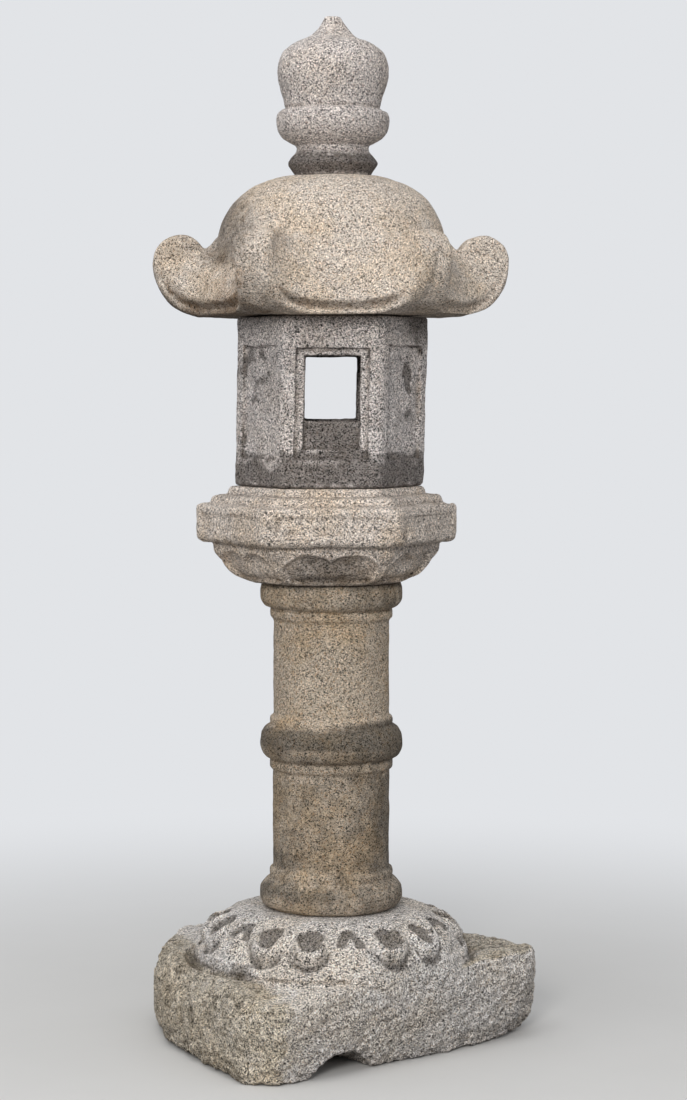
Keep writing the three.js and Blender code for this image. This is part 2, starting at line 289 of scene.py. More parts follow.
class Stone:
    """A stone being carved: a grid over its CAD node's box, in millimetres from its own seat."""

    def __init__(self, node, centre, seat, voxel):
        self.node, self.voxel = node, voxel * COARSE
        self.origin = np.array([centre[0], centre[1], seat])
        low, high = (np.array(corner) * MM - self.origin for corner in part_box(node))
        margin = 3 * self.voxel
        axes = [
            np.arange(start - margin, end + margin, self.voxel, dtype=np.float32)
            for start, end in zip(low, high)
        ]
        self.low, self.high = low, high
        self.start = np.array([axis[0] for axis in axes], float)
        self.x, self.y, self.z = np.meshgrid(*axes, indexing="ij", sparse=True)
        self.radius = np.hypot(self.x, self.y) + 0 * self.z
        self.height = self.z + 0 * self.radius
        self.field = None

    def trim(self, field, blend):
        """Cuts away what lies outside another field."""
        self.field = smooth_max(self.field, field, blend)

    def bore(self, tenon_radius, seat, inward, x=0):
        """Cuts the round socket for a tenon. From the seat it goes up (inward 1) or down (-1)."""
        mouth, floor = seat - inward * SOCKET_CLEARANCE, seat + inward * (TENON_LENGTH + SOCKET_CLEARANCE)
        middle, half = (mouth + floor) / 2, abs(floor - mouth) / 2
        wall = np.hypot(self.x - x, self.y) - (tenon_radius + SOCKET_CLEARANCE)
        socket = smooth_max(wall, np.abs(self.z - middle) - half, SOCKET_ROUNDING)
        self.field = np.maximum(self.field, -socket)

    def sample(self, points):
        """The field at any points, by blending the grid's values round each."""
        place = (points - self.start) / self.voxel
        limit = np.array(self.field.shape) - 2
        cell = np.clip(np.floor(place).astype(int), 0, limit)
        share = np.clip(place - cell, 0, 1)
        total = np.zeros(len(points))
        for corner in CELL:
            weight = np.prod(np.where(corner, share, 1 - share), axis=1)
            total += weight * self.field[tuple((cell + corner).T)]
        return total

    def closeness(self, points, normals, side, reaches):
        """How much stone stands close in front of the surface (side 1), or how much air lies close
        behind it (side -1), from 0 to 1."""
        return sum(
            1 - np.clip(side * self.sample(points + side * reach * normals) / reach, 0, 1)
            for reach in reaches
        ) / len(reaches)

    def finish(self, weather, material, offset, **look):
        """Meshes the stone, roughens it and gives it its masks, its own granite and its body.

        weather(points, normals) gives the roughness in millimetres and the soot and rust masks, which
        hold painted shade as well."""
        for place, start, end in zip((self.x, self.y, self.z), self.low, self.high):
            self.trim(np.maximum(start - place, place - end), 1)
        points, quads = mesh_of(self.field, self.start, self.voxel)
        normals = normals_of(points, quads)
        hollow = self.closeness(points, normals, 1, HOLLOW_REACHES)
        edge = self.closeness(points, normals, -1, EDGE_REACHES)
        height, soot_and_shade, rust_and_shade = weather(points, normals)
        points = points + height[:, None] * normals
        points = np.clip(points, self.low + INSET, self.high - INSET)
        mesh = bpy.data.meshes.new(self.node + "_carved")
        mesh.vertices.add(len(points))
        mesh.vertices.foreach_set("co", ((points + self.origin) / MM).astype(np.float32).ravel())
        mesh.loops.add(quads.size)
        mesh.loops.foreach_set("vertex_index", quads.astype(np.int32).ravel())
        mesh.polygons.add(len(quads))
        mesh.polygons.foreach_set("loop_start", np.arange(0, quads.size, 4, dtype=np.int32))
        mesh.update(calc_edges=True)
        mesh.validate()
        mesh.shade_smooth()
        for name, values in (("hollow", hollow), ("edge", edge), ("soot_and_shade", soot_and_shade), ("rust_and_shade", rust_and_shade)):
            attribute = mesh.attributes.new(name, "FLOAT", "POINT")
            attribute.data.foreach_set("value", np.clip(values, -1, 1).astype(np.float32))
        mesh.materials.append(granite(material, dict(GRANITE, **look), offset))
        piece = bpy.data.objects.new(self.node + "_stone", mesh)
        bpy.context.scene.collection.objects.link(piece)
        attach(piece, self.node + "_body")
        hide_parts(self.node)


# --- Granite ----------------------------------------------------------------------------------


class Shader:
    """Short calls that build a node tree. An input is a number, a colour or another node's output."""

    def __init__(self, name):
        self.material = bpy.data.materials.new(name)
        self.material.use_nodes = True
        self.tree = self.material.node_tree
        self.tree.nodes.clear()

    def node(self, kind, inputs=None, **settings):
        made = self.tree.nodes.new("ShaderNode" + kind)
        for name, value in settings.items():
            setattr(made, name, value)
        for name, value in (inputs or {}).items():
            if isinstance(value, bpy.types.NodeSocket):
                self.tree.links.new(value, made.inputs[name])
            else:
                made.inputs[name].default_value = value
        return made

    def math(self, operation, a, b):
        return self.node("Math", {0: a, 1: b}, operation=operation).outputs[0]

    def plus(self, a, b):
        return self.math("ADD", a, b)

    def times(self, a, b):
        return self.math("MULTIPLY", a, b)

    def mix(self, share, a, b, blend="MIX"):
        a, b = ((*colour, 1) if isinstance(colour, tuple) else colour for colour in (a, b))
        inputs = {"Factor": share, 6: a, 7: b}  # 6, 7 and output 2 are the ones that are colours
        return self.node("Mix", inputs, data_type="RGBA", blend_type=blend).outputs[2]

    def tinted(self, colour, tint, share, most):
        """A colour multiplied by a tint, wholly where share times most is 1."""
        return self.mix(self.times(share, most), colour, self.mix(1.0, colour, tint, "MULTIPLY"))

    def step(self, value, low, high):
        """0 below low and 1 above high, with a smooth step between."""
        inputs = {"Value": value, "From Min": low, "From Max": high}
        return self.node("MapRange", inputs, interpolation_type="SMOOTHSTEP").outputs["Result"]

    def noise(self, place, scale, detail=3.0, roughness=0.55):
        inputs = {"Vector": place, "Scale": scale, "Detail": detail, "Roughness": roughness}
        return self.node("TexNoise", inputs).outputs["Fac"]

    def grains(self, place, scale):
        """Two independent random numbers for each grain, and the distance from the grain's middle."""
        cells = self.node("TexVoronoi", {"Vector": place, "Scale": scale, "Randomness": 1.0})
        parts = self.node("SeparateColor", {"Color": cells.outputs["Color"]})
        return parts.outputs["Red"], parts.outputs["Green"], cells.outputs["Distance"]

    def mask(self, name):
        """One of the masks that Stone.finish gives each mesh."""
        return self.node("Attribute", attribute_name=name, attribute_type="GEOMETRY").outputs["Fac"]


# How fine the granite's patterns are, in bumps or cells to a metre.
CLOUDS, DUSK, BLOTCHES, SPOTS, PITS, GRIT, WOBBLE = 7.0, 16.0, 30.0, 42.0, 95.0, 130.0, 240.0
WOBBLE_SIZE = 0.0035  # how far the grains' outlines waver, in metres
FINER = 2.1  # the small specks to a grain, along a line
TONE = 0.34  # how much the grains differ in brightness
WORN_TINT = (1.35, 1.33, 1.3)
PIT_COLOUR = (0.05, 0.045, 0.04)

GRANITE = {
    # The grains: how many to a metre, the small specks' contrast, and where in 0 to 1 each kind starts
    # after mica: quartz, feldspar, warm grains and extra pale feldspar.
    "grain": 590.0, "salt": 1.0, "shares": (0.18, 0.38, 0.74, 0.82),
    "mica": (0.10, 0.09, 0.08), "quartz": (0.45, 0.42, 0.38), "feldspar": (0.70, 0.64, 0.55),
    "warm": (0.60, 0.46, 0.33),
    # The share of pits among the large cells, and how deep the bump is, in metres.
    "pits": 0.03, "relief": 0.0010,
    # How strong each tint is, and the tint. The soil, lichen and stain tints paint shade as well as
    # grime, soot and rust.
    "warmth": 0.5, "ochre": (0.95, 0.82, 0.62),
    "dusk": 0.35, "shade": (0.74, 0.72, 0.70),
    "grime": 0.6, "soil_and_shade": (0.42, 0.38, 0.33),
    "wear": 0.35,
    "stain": (0.72, 0.52, 0.34), "lichen": (0.30, 0.29, 0.28),
}


def granite(name, look, offset):
    """Weathered granite, where offset moves the patterns, so that no two stones have the same ones."""
    s = Shader(name)
    raw = s.node("TexCoord").outputs["Object"]
    place = s.node("VectorMath", {0: raw, 1: (offset, 2 * offset, -offset)}, operation="ADD").outputs[0]
    wobble = s.node("TexNoise", {"Vector": place, "Scale": WOBBLE, "Detail": 1.0}).outputs["Color"]
    shift = s.node("VectorMath", {0: wobble, 1: (0.5, 0.5, 0.5)}, operation="SUBTRACT").outputs[0]
    bend = s.node("VectorMath", {0: shift, "Scale": WOBBLE_SIZE}, operation="SCALE").outputs[0]
    bent = s.node("VectorMath", {0: place, 1: bend}, operation="ADD").outputs[0]

    # Grains of one mineral each, all of them a little different, with smaller specks over them.
    kind, tone, _ = s.grains(bent, look["grain"])
    fine, _, _ = s.grains(bent, look["grain"] * FINER)
    minerals = s.node("ValToRGB", {"Fac": kind})
    stops = minerals.color_ramp
    stops.interpolation = "CONSTANT"
    extra_pale = tuple(1.25 * part for part in look["feldspar"])
    colours = look["mica"], look["quartz"], look["feldspar"], look["warm"], extra_pale
    for start, colour in zip((0, *look["shares"]), colours):
        stop = stops.elements.new(start) if start else stops.elements[0]
        stop.color = (*colour, 1)
    stops.elements.remove(stops.elements[-1])
    colour = minerals.outputs["Color"]
    bright = s.plus(s.times(tone, TONE), s.times(fine, look["salt"]))
    bright = s.plus(bright, 1 - TONE / 2 - look["salt"] / 2)
    grey = s.node("CombineColor", {"Red": bright, "Green": bright, "Blue": bright}).outputs[0]
    colour = s.mix(1.0, colour, grey, "MULTIPLY")

    # Broad clouds of a warmer and of a darker tone.
    clouds = s.noise(place, CLOUDS, 5.0, 0.6)
    spots = s.noise(place, SPOTS, 4.0, 0.6)
    warmth = s.step(s.plus(clouds, s.times(spots, 0.35)), 0.58, 0.82)
    colour = s.tinted(colour, look["ochre"], warmth, look["warmth"])
    dusk = s.step(s.noise(place, DUSK, 6.0, 0.65), 0.42, 0.68)
    colour = s.tinted(colour, look["shade"], dusk, look["dusk"])

    # Grime and painted shade in the hollows, paler worn edges, then rust and soot, each with painted
    # shade, where the stone has them.
    blur = s.times(s.math("SUBTRACT", spots, 0.5), 0.7)
    grime = s.step(s.plus(s.mask("hollow"), blur), 0.22, 0.78)
    colour = s.tinted(colour, look["soil_and_shade"], grime, look["grime"])
    worn = s.step(s.plus(s.mask("edge"), blur), 0.3, 0.8)
    colour = s.tinted(colour, WORN_TINT, worn, look["wear"])
    speckle = s.times(s.math("SUBTRACT", fine, 0.5), 0.35)
    cloudy = s.times(s.math("SUBTRACT", s.noise(place, BLOTCHES, 6.0, 0.7), 0.5), 1.1)
    ragged = s.plus(cloudy, speckle)
    rust_and_shade = s.step(s.plus(s.mask("rust_and_shade"), ragged), 0.35, 0.8)
    colour = s.tinted(colour, look["stain"], rust_and_shade, 0.85)
    soot_and_shade = s.step(s.plus(s.mask("soot_and_shade"), ragged), 0.35, 0.85)
    colour = s.tinted(colour, look["lichen"], soot_and_shade, 0.9)

    # Small open pits, painted near black: dirt and painted shade in them.
    _, which, from_middle = s.grains(bent, PITS)
    whole = 1 - look["pits"]
    pit = s.times(s.step(from_middle, 0.24, 0.1), s.step(which, whole, whole + 0.02))
    colour = s.mix(s.times(pit, 0.75), colour, PIT_COLOUR)

    grit = s.plus(s.times(tone, 0.5), s.times(fine, 0.3))
    grit = s.plus(grit, s.times(s.noise(place, GRIT, 4.0, 0.6), 1.2))
    grit = s.math("SUBTRACT", grit, s.times(pit, 2.0))
    bump = s.node("Bump", {"Height": grit, "Strength": 0.85, "Distance": look["relief"]})
    dull = s.plus(s.times(fine, 0.12), 0.8)
    skin = s.node("BsdfPrincipled", {
        "Base Color": colour, "Roughness": dull, "Specular IOR Level": 0.25, "Normal": bump.outputs[0],
    })
    s.node("OutputMaterial", {"Surface": skin.outputs[0]})
    return s.material


# --- The six stones ---------------------------------------------------------------------------


def seat_of(node, end=0):
    """Height of a stone's lower (0) or upper (1) end in the frame, in millimetres."""
    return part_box(node)[end].z * MM


def centre_of(node):
    """The middle of a stone's box across the ground, in millimetres."""
    low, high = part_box(node)
    return (low.x + high.x) / 2 * MM, (low.y + high.y) / 2 * MM


SHAFT_CENTRE = centre_of("shaft")
SHAFT_SEAT = seat_of("base", 1)
PLATFORM_SEAT = seat_of("platform")
FIREBOX_SEAT = seat_of("platform", 1)
ROOF_SEAT = seat_of("roof")
FINIAL_SEAT = seat_of("roof", 1)

# Base. The block's plan is drawn inside its faces, and the offset rounds its corners off.
BLOCK_TOP = 150
BLOCK_OFFSET = 21
BLOCK_PLAN = [
    (-92, -318), (-38, -282), (158, -128), (322, 12), (344, 70), (320, 138), (225, 220), (105, 300),
    (-60, 328), (-200, 312), (-274, 258), (-300, 112), (-276, -40), (-196, -204), (-143, -298),
]
NEAR_CORNER = (-95, -335)
ARCH_MOUTH = (18, -242)  # the middle of the arch under the front right face
ARCH_TURN = math.radians(40)  # the way that face runs
ARCH_HALF, ARCH_HEIGHT = 62, 36
DOME_FOOT = [(238.5, BLOCK_TOP + 4), (233, 172), (221, 196), (202, 217), (176, 232), (150, 239.2)]
CHANNEL_RADIUS, CHANNEL_SIZE = 251, 7  # the worn channel round the dome's foot
PETAL_TURN = math.radians(-90 + 9)  # the tip between two petals that shows in front
LOBE_ANGLE = math.radians(10.6)  # from a petal's middle to the middle of each of its lobes
SCALLOPS = 18  # round the fringe below the petals


def to_front_right(x, y):
    """How far out a point is towards the base's front right face."""
    return x * 0.65 - y * 0.76


def lotus_relief(x, y, z):
    """(height, darkening) of the ring of double-lobed petals on the base's dome. The darkening is stain
    and painted shade in the hollows, grooves and veins.
    """
    radius = np.hypot(x, y)
    down = (radius - 140) + (SHAFT_SEAT - z)  # the way down the dome's slope
    angle = np.arctan2(y, x) - PETAL_TURN
    from_tip = angle - SECTOR * np.round(angle / SECTOR)
    from_middle = SECTOR / 2 - np.abs(from_tip)
    aside = radius * (from_middle - LOBE_ANGLE)
    # Each lobe is a cushion with a groove round it and a hollow in it.
    lobe = np.hypot(aside / 31, (down - 102) / 50)
    hollow = np.hypot(aside / 23, (down - 86) / 37)
    groove = bell(lobe, 1.17, 0.14) * ramp(down, 96, 140)
    dip = ramp(hollow, 1.05, 0.78)
    # Between two petals the tip of one behind shows as two veins.
    tip = np.abs(np.abs(radius * from_tip) - 0.34 * (down - 46))
    veins = ramp(tip, 11, 5) * ramp(down, 44, 54) * ramp(down, 110, 96)
    fringe = ramp(down, 160, 167) * ramp(down, 196, 186)
    scallop = np.abs(np.sin(SCALLOPS / 2 * angle))
    height = 9 * ramp(lobe, 1.10, 0.74) - 5.5 * groove - 12 * dip - 7 * veins + fringe * (5 * scallop + 3)
    return height, np.clip(dip + 0.9 * veins + 0.6 * groove, 0, 1)


def carve_base():
    stone = Stone("base", SHAFT_CENTRE, 0, voxel=2.8)
    x, y, z = stone.x, stone.y, stone.z
    plan = outline_distance(BLOCK_PLAN, x[..., 0], y[..., 0])[..., None] - BLOCK_OFFSET
    # The front right face overhangs; the other faces lean back towards the top.
    front = to_front_right(x, y)
    overhang = ramp(front, 120, 200) * ramp(y, 110, 20)
    from_corner = np.hypot(x - NEAR_CORNER[0], y - NEAR_CORNER[1])
    lean = (1 - overhang) * 17 * ramp(z, 92, 156)
    undercut = (1 - 0.6 * ramp(from_corner, 130, 40)) * 20 * (1 - ramp(z, -30, 40))
    undercut = undercut + overhang * 22 * (1 - ramp(z, 0, 130))
    toe = 16 * ramp(x, 250, 360) * (1 - ramp(z, -5, 50))
    side = plan + lean + undercut + toe - 11 * overhang
    # The top rises a little along the front right edge and drops to the near corner.
    rise = 8 * ramp(front, 130, 215) * ramp(x, -20, 120)
    crown = BLOCK_TOP + 2 + rise - 15 * ramp(from_corner, 110, 20)
    block = smooth_max(side, z - crown, 14)
    block = smooth_max(block, -z, 10)
    # The arch gets lower as it runs in under the stone.
    arch_x, arch_y = x - ARCH_MOUTH[0], y - ARCH_MOUTH[1]
    along = arch_x * math.cos(ARCH_TURN) + arch_y * math.sin(ARCH_TURN)
    inward = arch_y * math.cos(ARCH_TURN) - arch_x * math.sin(ARCH_TURN)
    arch_height = ARCH_HEIGHT * (1 - ramp(inward, 20, 130)) + 1
    arch = (np.hypot(along / ARCH_HALF, z / arch_height) - 1) * arch_height
    block = smooth_max(block, -arch, 12)

    dome_outline = [
        (CORE, BLOCK_TOP - 25), (239, BLOCK_TOP - 25), *curve(DOME_FOOT),
        (134, SHAFT_SEAT), (CORE, SHAFT_SEAT),
    ]
    radius = stone.radius
    dome = turned(dome_outline, radius, stone.height)
    relief, _ = lotus_relief(x, y, z)
    dome = dome - np.where(z > BLOCK_TOP - 12, relief, 0) * ramp(radius, 142, 152)
    dome = smooth_max(dome, side + 1, 5)
    stone.field = smooth_min(block, dome, 3)
    stone.trim(CHANNEL_SIZE - np.hypot(radius - CHANNEL_RADIUS, z - crown), 6)
    stone.bore(TENON_RADIUS, SHAFT_SEAT, -1)
    stone.trim(z - SHAFT_SEAT, 1)

    def weather(points, normals):
        x, y, z = points.T
        radius = np.hypot(x, y)
        on_dome = ramp(radius, 252, 236) * ramp(z, 146, 158)
        on_block = 1 - on_dome
        in_socket = ramp(radius, 64, 56)
        flat = ramp(normals[:, 2], 0.55, 0.9) * on_block
        # The block is hewn, with chisel marks and chips. The dome is tooled more finely.
        fine = rough(points, 13, (18, 1.4), (9, 2.4), (6, 2.2))
        hewn = rough(points, 11, (90, 2.4), (40, 1.6)) + fine
        chisel = 2.0 * np.abs(noise(points, 22, 21)) - 1.6 * np.abs(noise(points, 12, 22)) - 0.2
        chips = -2.5 * ramp(noise(points, 24, 23), 0.35, 0.7) * (1 - flat)
        tooled = rough(points, 12, (60, 1.2), (16, 0.7), (8, 0.6), (5.5, 0.6))
        height = np.where(on_dome > 0, tooled, (hewn + chisel) * (1 - 0.5 * flat) + chips - 0.8)
        height = height * (1 - in_socket) * ramp(radius, 118, 146)
        height = np.where(z < 1.5, np.minimum(height, 0), height)
        # Soot and painted shade in the petals' hollows, soot on the block's left and top, a painted shade
        # line round the dome's foot, and a band along the block's front.
        ragged = rough(points, 14, (14, 5), (7, 3))
        _, stain = lotus_relief(x + ragged, y + ragged, z)
        petal_soot_and_shade = on_dome * stain * (0.85 + 0.2 * ramp(x, 20, 140))
        front = ramp(to_front_right(x, y), 120, 200) * on_block
        band = bell(z, 40 + 0.42 * (x - 60), 26) * ramp(x, -20, 60) * front
        mottle = ramp(x, 150, 250) * ramp(noise(points, 60, 27), -0.6, 0.7) * front * ramp(z, 50, 100)
        left = ramp(-x - 0.4 * y, 150, 240) * on_block
        top = ramp(x, 150, 220) * ramp(normals[:, 2], 0.2, 1.0) * on_block
        # A painted shade line where the dome's foot meets the block.
        foot = bell(radius, 248, 6) * ramp(z, 132, 142) * (0.8 + 0.7 * noise(points, 30, 28))
        # Painted shade in the low spots of the hewn faces.
        pit_shade = np.clip(-fine - 0.3, 0, 3) * on_block * (1 - 0.4 * left)
        soot_and_shade = petal_soot_and_shade + 0.28 * band + 0.5 * mottle + 0.4 * left + 0.5 * top + 0.2 * pit_shade
        # The overhanging front right face is painted lighter, a painted light against the shade that it
        # gets.
        soot_and_shade = soot_and_shade + 0.36 * on_dome + 0.5 * foot - 0.5 * front
        patch = bell(np.hypot(x - 125, y + 225), 0, 45) * ramp(z, 120, 150)
        rust_and_shade = 0.5 * patch + 0.7 * top + 0.75 * left
        return height, soot_and_shade, rust_and_shade

    stone.finish(
        weather, "rough_granite", offset=0.3,
        mica=(0.06, 0.058, 0.055), quartz=(0.53, 0.50, 0.47), feldspar=(0.97, 0.92, 0.88),
        warm=(0.66, 0.56, 0.46), shares=(0.21, 0.40, 0.73, 0.80), pits=0.08, relief=0.0026,
        warmth=0.3, dusk=0.3, grime=0.65, stain=(0.82, 0.76, 0.62),
    )


SHAFT_RADIUS, FILLET_RADIUS = 103, 109  # of the plain shaft, and of the fillets beside its swellings
SHAFT_MIDDLE = 292  # height of the middle ring


def carve_shaft():
    stone = Stone("shaft", SHAFT_CENTRE, SHAFT_SEAT, voxel=3.0)
    x, y, z = stone.x, stone.y, stone.z
    head = PLATFORM_SEAT - SHAFT_SEAT - SEAM
    middle = SHAFT_MIDDLE
    outline = [
        (CORE, TENON_END), (TENON_RADIUS, TENON_END), (TENON_RADIUS, SEAM),
        *curve([(112, SEAM), (121, 6), (127, 20), (126.5, 34), (118, 46), (111, 52)]),
        (107.5, 54), (109.5, 57), (109.5, 66), (107.5, 69), (SHAFT_RADIUS, 71),
        (SHAFT_RADIUS, middle - 50), (107.5, middle - 47), (FILLET_RADIUS, middle - 44),
        (FILLET_RADIUS, middle - 33), (107, middle - 30.5),
        *arc(107, middle, 20, -84, 84, 14, 30),
        (107, middle + 30.5), (109.5, middle + 32), (109.5, middle + 42), (107.5, middle + 45),
        (SHAFT_RADIUS, middle + 47),
        (SHAFT_RADIUS, 507), (107.5, 511), (FILLET_RADIUS, 514), (FILLET_RADIUS, 525), (107, 527.5),
        *curve([(FILLET_RADIUS, 528), (119, 533), (126, 545), (126.5, 562), (123, head)]),
        (TENON_RADIUS, head), (TENON_RADIUS, head + TENON_LENGTH), (CORE, head + TENON_LENGTH),
    ]
    stone.field = turned(outline, stone.radius, stone.height)

    def weather(points, normals):
        x, y, z = points.T
        hidden = (z < 1) | (z > head - 1) | (np.hypot(x, y) < TENON_RADIUS + 10)
        height = rough(points, 31, (90, 1.3), (28, 0.7), (9, 0.45))
        chips = ramp(noise(points, 13, 37), 0.45, 0.8) * ramp(noise(points, 50, 38), 0, 0.4)
        height = np.where(hidden, -0.3, height - 3.0 * chips - 0.4)
        side = x / 110  # -1 at the left edge, 1 at the right
        # The dark middle ring, darkest above its middle and, with painted shade, darker towards the
        # right.
        ring = bell(z, middle + 15, 16, 4) * (1.0 + 0.15 * side)
        ring = ring + bell(z, middle + 37, 8) * (0.4 + 0.3 * side)
        ring = ring + 0.2 * ramp(z, middle - 36, middle - 28) * ramp(z, middle + 5, middle - 5)
        # Painted shade under the platform's bowl.
        under_bowl_shade = 0.4 * ramp(z, head - 60, head - 40) + 0.3 * ramp(z, head - 12, head)
        lower_half = 0.38 * ramp(z, middle + 20, middle + 8) + 0.13 * ramp(z, middle - 30, middle - 70)
        # The foot is a little paler, with grey streaks.
        foot = 0.34 * bell(z, 36, 13) * ramp(side, 0.5, -0.1) - 0.06 * ramp(z, 75, 60)
        foot = foot + 0.22 * bell(z, 92, 18) * ramp(-side, 0.3, 0.8)
        # The right side, turned from the light, is painted darker: painted shade.
        soot_and_shade = ring + under_bowl_shade + lower_half + foot + 0.2 * ramp(side, 0.1, 0.8)
        rust_and_shade = 0.3 * ramp(-side, -0.2, 0.9) * ramp(z, 60, 330)
        return height, soot_and_shade, rust_and_shade

    stone.finish(
        weather, "ochre_granite", offset=1.7,
        mica=(0.09, 0.08, 0.065), quartz=(0.41, 0.35, 0.275), feldspar=(0.60, 0.505, 0.40),
        warm=(0.48, 0.33, 0.21), warmth=0.6, grime=0.65, lichen=(0.28, 0.29, 0.30),
    )


SLAB_PANEL = (96, 106, 15)  # the sunk panel on each side: half width, middle height, half height
SLAB_APOTHEM = 234 / CORNER
BOWL_SIDE = PLATFORM_TURN + SECTOR / 2  # the direction that a side of the platform faces


def bowl_relief(x, y, z):
    """(height, darkening) of the double-lobed lotus petals under the platform, one to a side. The
    darkening is soot and painted shade in the dips.
    """
    out, aside = folded(x, y, BOWL_SIDE)
    wide = np.abs(aside)
    brim = np.minimum(81, out * math.tan(SECTOR / 2) - 9)  # half of the petal's width
    flank = (wide - brim) / 44 + 1
    lobes = np.hypot((wide - 37) / 44, (z - 26) / 29)
    petal = np.where(z < 26, flank, np.maximum(lobes, flank))
    dip = ramp(petal, 1.03, 0.92) * ramp(z, 2, 13)
    rim = bell(petal, 1.1, 0.06)
    within = ramp(z, 63, 57) * ramp(z, 1, 9)
    return (2.5 * rim - 7 * dip) * within, dip * within


def carve_platform():
    centre = centre_of("platform")
    stone = Stone("platform", centre, PLATFORM_SEAT, voxel=2.3)
    x, y, z = stone.x, stone.y, stone.z
    top = FIREBOX_SEAT - PLATFORM_SEAT
    across, height = hexagon(x, y, PLATFORM_TURN, 9) + 0 * z, stone.height

    def hexed(points):
        """A six-sided solid from an outline of (corner radius, height) points."""
        return turned([(radius / CORNER, at) for radius, at in points], across, height)

    steps = hexed([
        (CORE, 60), (210, 69.5), *curve([(224, 70), (232, 76), (234, 86)]),
        *curve([(234, 128), (232, 135), (225, 138.2)]), (211, 139.5),
        *curve([(209, 141), (207.5, 147), (203, 152.5), (196, 154)]), (181, 154.8),
        *curve([(178.5, 157), (177, 163), (172, 168), (164, top)]), (CORE, top),
    ])
    out, aside = folded(x, y, BOWL_SIDE)
    panel = rectangle(aside, z, SLAB_PANEL, 3)
    steps = smooth_max(steps, -smooth_max(panel, SLAB_APOTHEM - 2.2 - out, 1), 1.5)
    bowl_outline = [
        (CORE, SEAM), (132, SEAM),
        *curve([(134, SEAM), (147, 5), (164, 14), (176, 25), (186, 36), (198, 47), (203, 56), (205, 66)]),
        (206, 74), (CORE, 74),
    ]
    # The bowl is round where it stands on the shaft and six-sided at its brim.
    roundness = ramp(z, 52, 4)
    radius = (1 - roundness) * across * CORNER + roundness * np.hypot(x, y)
    relief, _ = bowl_relief(x, y, z)
    stone.field = smooth_min(steps, turned(bowl_outline, radius, height) - relief, 3)
    stone.bore(TENON_RADIUS, 0, 1, x=SHAFT_CENTRE[0] - centre[0])

    def weather(points, normals):
        x, y, z = points.T
        hidden = (z < 2) | (z > top - 1) | (np.hypot(x, y) < TENON_RADIUS + 20)
        height = rough(points, 41, (70, 1.2), (22, 0.9), (8, 0.55))
        height = height - 3.5 * ramp(noise(points, 24, 47), 0.5, 0.85)
        height = np.where(hidden, np.minimum(height, 0) * 0.2, height - 0.4)
        # Soot and painted shade in the petals' dips, most in front, and painted shade at the bowl's foot.
        _, petal_soot_and_shade = bowl_relief(x, y, z)
        front = bell(np.degrees(np.arctan2(y, x)), -88, 26)
        _, aside = folded(x, y, BOWL_SIDE)
        on_slab = ramp(z, 72, 78) * ramp(z, 138, 132)
        # Painted shade in the creases: round the slab's sunk panels, where the bowl meets the slab and in
        # the steps' inner corners.
        joints = 0.4 * on_slab * bell(rectangle(aside, z, SLAB_PANEL), 0, 2.0)
        joints = joints + sum(bell(z, step, 1.8) for step in (70, 140.5, 155.5)) * 0.55
        soot_and_shade = petal_soot_and_shade * (0.3 + 0.55 * front) + 0.6 * ramp(z, 16, 0) + joints
        rust_and_shade = 0.4 * ramp(-x, 60, 190) * ramp(z, 70, 40) + 0.18 * ramp(z, 140, 156) * ramp(-x, 0, 120)
        return height, soot_and_shade, rust_and_shade

    stone.finish(
        weather, "pale_granite", offset=2.9,
        quartz=(0.46, 0.405, 0.36), feldspar=(0.80, 0.71, 0.63), warm=(0.60, 0.47, 0.36),
        shares=(0.2, 0.4, 0.74, 0.81), pits=0.05, warmth=0.4, dusk=0.4, grime=0.75,
    )


FIREBOX_APOTHEM = 149
CHAMBER_RADIUS = 112
# Upright rectangles on its sides: half width, middle height, half height. Then how deep each is cut.
BLANK_PANEL, BLANK_DEPTH = (59, 149, 97), 7
WINDOW_FRAME, FRAME_DEPTH = (63, 147, 95), 8
WINDOW_STEP, STEP_DEPTH = (48, 149, 80), 19
WINDOW_LEDGE, LEDGE_DEPTH = (52, 65, 6), 11
WINDOW = (47, 173, 56)


def upright(x, z):
    """The place across the firebox that a point would have if the box didn't lean a little."""
    return x + 2.8 - 5.9 * z / (ROOF_SEAT - FIREBOX_SEAT)


def worn_relief(aside, z):
    """The relief left on a blank side: low, worn swellings that can no longer be read."""
    swell = np.sin(aside / 15 + 1.3 * np.sin(z / 26)) * np.sin(z / 21 + 0.9 * np.sin(aside / 19))
    return 2.2 * swell - 1.0


